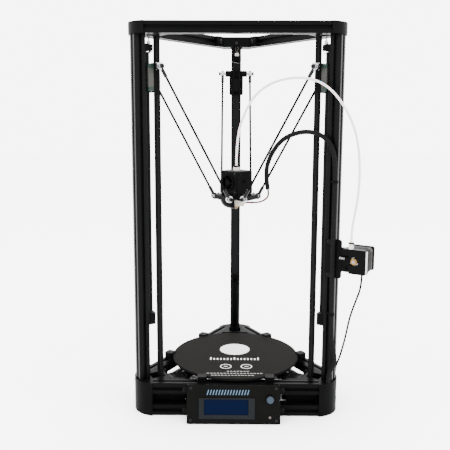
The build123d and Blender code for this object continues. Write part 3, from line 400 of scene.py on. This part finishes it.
def cord(name, route, diameter, material, replaced, body=None, sides=16):
    points = spline_points(name + "_line", route)
    mesh = bmesh.new()
    tube(mesh, points, diameter / 2000, sides)
    made = piece(name, mesh, body, material)
    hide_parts(replaced)
    print(name, "length", round(run_length(points), 4))
    return made


bowden = cord("bowden_tube_milky", BOWDEN_ROUTE, 4, tube_plastic, "bowden_tube")
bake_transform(bowden)

loom = cord("wiring_loom_braided", LOOM_ROUTE + LOOM_DOWN, 8, braid, "wiring_loom",
            sides=20)
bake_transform(loom)

cable = cord("extruder_cable_jacket", CABLE_ROUTE, 3.5, cable_jacket, "extruder_cable",
             "frame")

# The wires are a bundle of strands twisted round one line.
wire_line = spline_points("wires_line", WIRES_ROUTE)
bundle = bmesh.new()
for strand in range(5):
    across = Vector((0, 0, 1))
    wound, travelled = [], 0
    for place, point in enumerate(wire_line):
        ahead = (wire_line[min(place + 1, len(wire_line) - 1)] - wire_line[max(place - 1, 0)]).normalized()
        across = (across - ahead * across.dot(ahead)).normalized()
        if place:
            travelled += (point - wire_line[place - 1]).length
        angle = 2 * math.pi * (strand / 5 + travelled / 0.04)
        wound.append(point + (across * math.cos(angle) + ahead.cross(across) * math.sin(angle)) * 0.00115)
    tube(bundle, wound, 0.00065, 10, strand)
wires = piece("hotend_wire_bundle", bundle, "effector", wire_jackets)
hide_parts("hotend_wires")

# ---- finishes of the CAD nodes ----
for name, material in {
        "base_vertices": plastic, "top_vertices": plastic, "columns": anodised_up, "base_beams": anodised,
        "top_beams": anodised, "linear_rails": rail_steel, "rail_stops": plastic, "drive_belts": belt_teeth,
        "endstop_switches": plastic, "heated_bed": bed_metal, "build_surface": bed_sheet,
        "bed_clips": plastic, "display_housing": painted, "display_bezel": bezel_metal,
        "display_screen": window, "circuit_boards": board_mask, "electronics_tray": painted,
        "extruder_bracket": anodised,
        "loom_clips": plastic, "effector_platform": printed, "hotend_shroud": plastic,
        "fan_rotor": plastic, "extruder_lever": anodised,
        "encoder_shaft": aluminium, "reset_button": red_plastic,
        }.items():
    assign(name, material)

for tower in TOWERS:
    assign(f"idler_{tower}", steel)
    assign(f"drive_pulley_{tower}", aluminium)
    assign(f"endstop_lever_{tower}", steel)
    # the end caps of a carriage block are green, beyond its two seams
    paint(f"carriage_block_{tower}", (block_steel, green_plastic),
          lambda middle, normal: int(abs(middle.z - 590) > 15.8))


# ---- what makes a rod: a carbon tube, its end pieces and the rings on the balls ----
for tower, turn in TOWERS.items():
    for side, offset in (("a", -28), ("b", 28)):
        high = turned(turn) @ mm(offset, 163.5, 608) * 1000
        low = turned(turn) @ mm(offset, 31, 376.2) * 1000

        def part_of_rod(middle, normal, high=high, low=low):
            distance = min((middle - high).length, (middle - low).length)
            if distance < 7:
                return 0
            return 1 if distance < 20.2 else 2

        paint(f"arm_rod_{tower}_{side}", (chrome, socket_steel, carbon), part_of_rod)

    ball_left = turned(turn) @ mm(-28, 163.5, 608) * 1000
    ball_right = turned(turn) @ mm(28, 163.5, 608) * 1000

    def part_of_adapter(middle, normal, turn=turn, balls=(ball_left, ball_right)):
        if min((middle - ball).length for ball in balls) > 8.4:
            return 0
        return 2 if abs((turned(-turn) @ middle).x) > 32.3 else 1

    paint(f"carriage_adapter_{tower}", (printed, chrome, socket_steel), part_of_adapter)

def part_of_stud(middle, normal):
    """Chrome balls and necks, and dark socket heads at the far ends."""
    beside = [turned(-turn) @ middle for turn in TOWERS.values()]
    along = max((abs(place.x) for place in beside if 20 < place.y < 40), default=0)
    return int(along > 32.3)


paint("effector_studs", (chrome, socket_steel), part_of_stud)
paint("hotend", (aluminium, insulation, brass),
      lambda middle, normal: 2 if middle.z < 358.9 else int(middle.z < 370.1 and abs(middle.y) > 2))
paint("effector_fitting", (white_plastic, plastic), lambda middle, normal: int(middle.z > 431.2))
paint("extruder_body", (anodised, aluminium),
      lambda middle, normal: int((turned(120) @ normal).y > 0.9 and middle.z > 262))
paint("extruder_fitting", (white_plastic, plastic), lambda middle, normal: int(middle.z > 314.5))
paint("extruder_gear", (brass, steel),
      lambda middle, normal: int(abs((turned(120) @ middle).y - 239) < 2.7
                                 and abs(middle.z - 284.5) < 2.7))


def screw_finish(middle, normal):
    """Dull screws on the display and on the extruder's bracket, black ones elsewhere."""
    near_extruder = (turned(120) @ middle).x > 12 and 240 < middle.z < 330
    near_display = middle.y < -121 and middle.z < 60 and abs(middle.x) < 95
    return int(near_extruder or near_display)


paint("frame_screws", (socket_steel, rail_steel), screw_finish)

# ---- motors: laminated stacks between dark end caps ----
def motor(mesh, length, place):
    """A square motor whose shaft points along its Z, with its front face at Z 0."""
    cap = 9
    rounded_box(mesh, (42.3, 42.3, cap), (0, 0, -cap / 2), 3.4, place, 0, 3)
    rounded_box(mesh, (41.2, 41.2, length - 2 * cap + 1), (0, 0, -length / 2), 5, place, 1, 3)
    rounded_box(mesh, (42.3, 42.3, cap), (0, 0, cap / 2 - length), 3.4, place, 0, 3)
    lathe(mesh, [(11, -0.5), (11, 1.7), (10.6, 2), (3, 2), (3, 1)], 48, place=place, index=2)
    for x in (-15.5, 15.5):
        for y in (-15.5, 15.5):
            corner = place @ Matrix.Translation(mm(x, y, -length))
            lathe(mesh, [(2.6, 0.6), (2.6, -0.1), (2.1, -0.4), (1.2, -0.4), (1.2, 0.3)], 16,
                  place=corner, index=2)


tower_motors = bmesh.new()
for turn in TOWERS.values():
    motor(tower_motors, 40, turned(turn) @ placed((0, 148, 30), (0, 1, 0), (1, 0, 0)))
tower_motors = piece("tower_motors_detailed", tower_motors, "frame", [painted, laminations, aluminium])
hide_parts("stepper_motors")

feeder = bmesh.new()
motor(feeder, 38, turned(-120) @ placed((10, 239, 284.5), (1, 0, 0), (0, 1, 0)))
plug_place = turned(-120)
rounded_box(feeder, (12, 16, 8.4), (-21, 240, 259.5), 0.8, plug_place, 3)
rounded_box(feeder, (8, 18.5, 3.4), (-21, 240, 260.4), 0.5, plug_place, 3)
feeder = piece("extruder_motor_detailed", feeder, "frame", [painted, laminations, aluminium, plastic])
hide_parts("extruder_motor")

# ---- the spring that presses the extruder's lever, between two washers ----
spring = bmesh.new()
coil = [turned(-120) @ mm(18.4 + 2.3 * math.cos(step * 0.35), 214.3 + 7.6 * step / 90,
                          288 + 2.3 * math.sin(step * 0.35)) for step in range(91)]
tube(spring, coil, 0.00038, 8, 0)
for start in (213.6, 222.0):
    lathe(spring, [(2.9, 0), (2.9, 0.5), (1.2, 0.5)], 24,
          place=turned(-120) @ placed((18.4, start, 288), (0, 1, 0), (1, 0, 0)), index=1)
piece("lever_spring", spring, "extruder_lever", [chrome, aluminium])

# ---- knurled knob, with a smooth cap and a skirt ----
LEAN = math.radians(16)
PANEL_NORMAL = (0, -math.cos(LEAN), math.sin(LEAN))


def on_panel(u, v, height=0.0):
    """The matrix of a frame that stands on the panel, u to the right and v up the slope."""
    origin = Vector((-4 + u, -145.3 + v * math.sin(LEAN), 32.7 + v * math.cos(LEAN)))
    origin += Vector(PANEL_NORMAL) * height
    return placed(origin, PANEL_NORMAL, (1, 0, 0))


knob = bmesh.new()
knob_place = on_panel(63, 9.7)
lathe(knob, [(6.9, 1.2), (7, 1.6), (7, 2.6), (6.5, 3)], 96, place=knob_place, index=0)
lathe(knob, [(6.3, 2.9), (6.3, 12)], 192, 48, 0.22, place=knob_place, index=0)
lathe(knob, [(6.1, 11.9), (6.1, 12.4), (5.4, 13.1), (4.6, 13.2), (4.2, 12.8)], 96, place=knob_place, index=1)
knob = piece("knob_knurled", knob, "display_knob", [plastic, knob_metal])
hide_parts("display_knob")

# ---- printed marks: closed shapes 0.05 mm thick, a hair above the surface ----
MARK_DEPTH = 0.05


def flat(mesh, outline, place):
    top, bottom = ([mesh.verts.new(place @ mm(x, y, height)) for x, y in outline] for height in (0, -MARK_DEPTH))
    mesh.faces.new(top)
    mesh.faces.new(bottom[::-1])
    for here in range(len(outline)):
        mesh.faces.new((top[here - 1], bottom[here - 1], bottom[here], top[here]))


def ring_mark(mesh, x, y, outer, inner, place, sides=48):
    section = ((outer, 0), (inner, 0), (inner, -MARK_DEPTH), (outer, -MARK_DEPTH))
    rims = [[mesh.verts.new(place @ mm(x + radius * math.cos(2 * math.pi * step / sides),
                                       y + radius * math.sin(2 * math.pi * step / sides), height))
             for step in range(sides)] for radius, height in section]
    for edge in range(len(section)):
        for step in range(sides):
            mesh.faces.new((rims[edge - 1][step - 1], rims[edge - 1][step], rims[edge][step], rims[edge][step - 1]))


bed_marks = bmesh.new()
on_bed = Matrix.Translation(mm(0, 0, 68.46))
disc = [(29 * math.cos(math.radians(angle)) - 1, 29 * math.sin(math.radians(angle)) + 24)
        for angle in range(0, 360, 5)]
flat(bed_marks, disc, on_bed)
for tick in range(15):
    left, tall = -48 + 6.4 * tick, 12 if tick % 7 == 0 else 8
    flat(bed_marks, [(left, -31), (left + 2.6, -31), (left + 2.6, tall - 31), (left, tall - 31)],
         on_bed)
for x in (-18, 20):
    ring_mark(bed_marks, x, -63, 10.5, 9, on_bed)
    flat(bed_marks, [(x - 3.5, -64), (x + 3.5, -64), (x + 3.5, -62), (x - 3.5, -62)], on_bed)
for row, (low, high) in enumerate(((-16, 24), (-52, 48), (-44, 30))):
    for dash in range(low, high, 6):
        top = -85.3 - 9 * row
        flat(bed_marks, [(dash, top - 0.9), (dash + 4.2, top - 0.9), (dash + 4.2, top), (dash, top)], on_bed)
piece("bed_print_marks", bed_marks, "frame", white_print)

panel_marks = bmesh.new()
on_face = on_panel(0, 0, 0.06)
for stroke in range(15):
    left = -46.5 + 5 * stroke
    flat(panel_marks, [(left, 16), (left + 1.5, 16), (left + 4.1, 24.6), (left + 2.6, 24.6)], on_face)
piece("panel_print_marks", panel_marks, "frame", blue_print)

panel_screws = bmesh.new()
for u in (-74, 74):
    for v in (-27, 27):
        lathe(panel_screws, [(2.6, 0), (2.6, 0.5), (2.0, 1.2), (1.1, 1.4), (1.0, 0.5), (0.2, 0.5)], 24,
              place=on_panel(u, v))
piece("panel_corner_screws", panel_screws, "frame", socket_steel)

# ---- the shroud's small screws, its fan frame's rim and a wire port ----
shroud_details = bmesh.new()
side = math.sqrt(0.5)
front_left = placed((-21.4 * side, -21.4 * side, 404), (-side, -side, 0), (side, -side, 0))
front_right = placed((21.4 * side, -21.4 * side, 404), (side, -side, 0), (side, side, 0))
for u in (-17.3, 17.3):
    for v in (-17.3, 17.3):
        corner = front_left @ Matrix.Translation(mm(u, v, 0))
        lathe(shroud_details, [(2.2, -0.3), (2.2, 0.6), (1.8, 1.1), (1, 1.2), (0.9, 0.5)], 20,
              place=corner, index=1)
for u, v in ((-15, 2), (12, 14), (-12, 14)):
    spot = front_right @ Matrix.Translation(mm(u, v, 0))
    lathe(shroud_details, [(1.5, -0.3), (1.5, 0.6), (1.2, 0.9), (0.8, 0.9), (0.7, 0.4)], 20,
          place=spot, index=2)
lathe(shroud_details, [(3.4, -0.3), (3.4, 0.8), (3.0, 1.1), (2.3, 1.1), (2.2, -0.2)], 32,
      place=front_right @ Matrix.Translation(mm(-2, 2, 0)), index=0)
piece("shroud_details", shroud_details, "effector", [plastic, socket_steel, rail_steel])

# ---- each end stop's plug and leads, which go up into the top casting ----
leads = bmesh.new()
for turn in TOWERS.values():
    rounded_box(leads, (8, 4.6, 5), (1, 172, 646.4), 0.5, turned(turn), 0)
    rounded_box(leads, (6.6, 3.4, 2.4), (1, 172, 649.6), 0.4, turned(turn), 0)
    for lead, (x, material) in enumerate(((-1, 1), (1, 2), (3, 1))):
        line = [turned(turn) @ mm(x + 0.9 * math.sin(step * 0.55 + lead),
                                  172 + 0.9 * math.cos(step * 0.45 + lead), 649 + step)
                for step in range(15)]
        tube(leads, line, 0.0005, 8, material)
piece("endstop_leads", leads, "frame", [white_plastic, wire_jackets[3], wire_jackets[4]])

# ---- floor, lights and camera ----
floor_mesh = bmesh.new()
bmesh.ops.create_grid(floor_mesh, x_segments=1, y_segments=1, size=6)
floor_white = surface("floor_white", (0.97, 0.97, 0.97), 0.9, 0, 30, 0.01, 0.0, 0.0)
floor = piece("floor", floor_mesh, None, floor_white)

world = bpy.context.scene.world or bpy.data.worlds.new("world")
bpy.context.scene.world = world
world.use_nodes = True
world.node_tree.nodes["Background"].inputs[0].default_value = (1, 1, 1, 1)
world.node_tree.nodes["Background"].inputs[1].default_value = 7.0


def area_light(name, place, target, size, power):
    data = bpy.data.lights.new(name, "AREA")
    data.shape = "RECTANGLE"
    data.size, data.size_y = size
    data.energy = power
    lamp = bpy.data.objects.new(name, data)
    bpy.context.scene.collection.objects.link(lamp)
    lamp.location = place
    lamp.rotation_euler = (Vector(target) - Vector(place)).to_track_quat("-Z", "Y").to_euler()


area_light("soft_box_left", (-1.5, -1.3, 1.5), (0, 0, 0.35), (1.2, 1.6), 22)
area_light("soft_box_right", (1.7, -1.0, 1.2), (0, 0, 0.35), (0.9, 1.6), 16)
area_light("soft_box_top", (0, -0.3, 2.2), (0, 0, 0.3), (1.6, 1.6), 18)

view = bpy.data.cameras.new("camera")
view.lens = 52.97
view.sensor_width = 36
view.shift_y = -0.034
camera = bpy.data.objects.new("camera", view)
bpy.context.scene.collection.objects.link(camera)
camera.location = (-0.01065, -1.22443, 0.54428)
camera.rotation_euler = (math.radians(81.03), math.radians(-0.176), math.radians(0.507))
bpy.context.scene.camera = camera
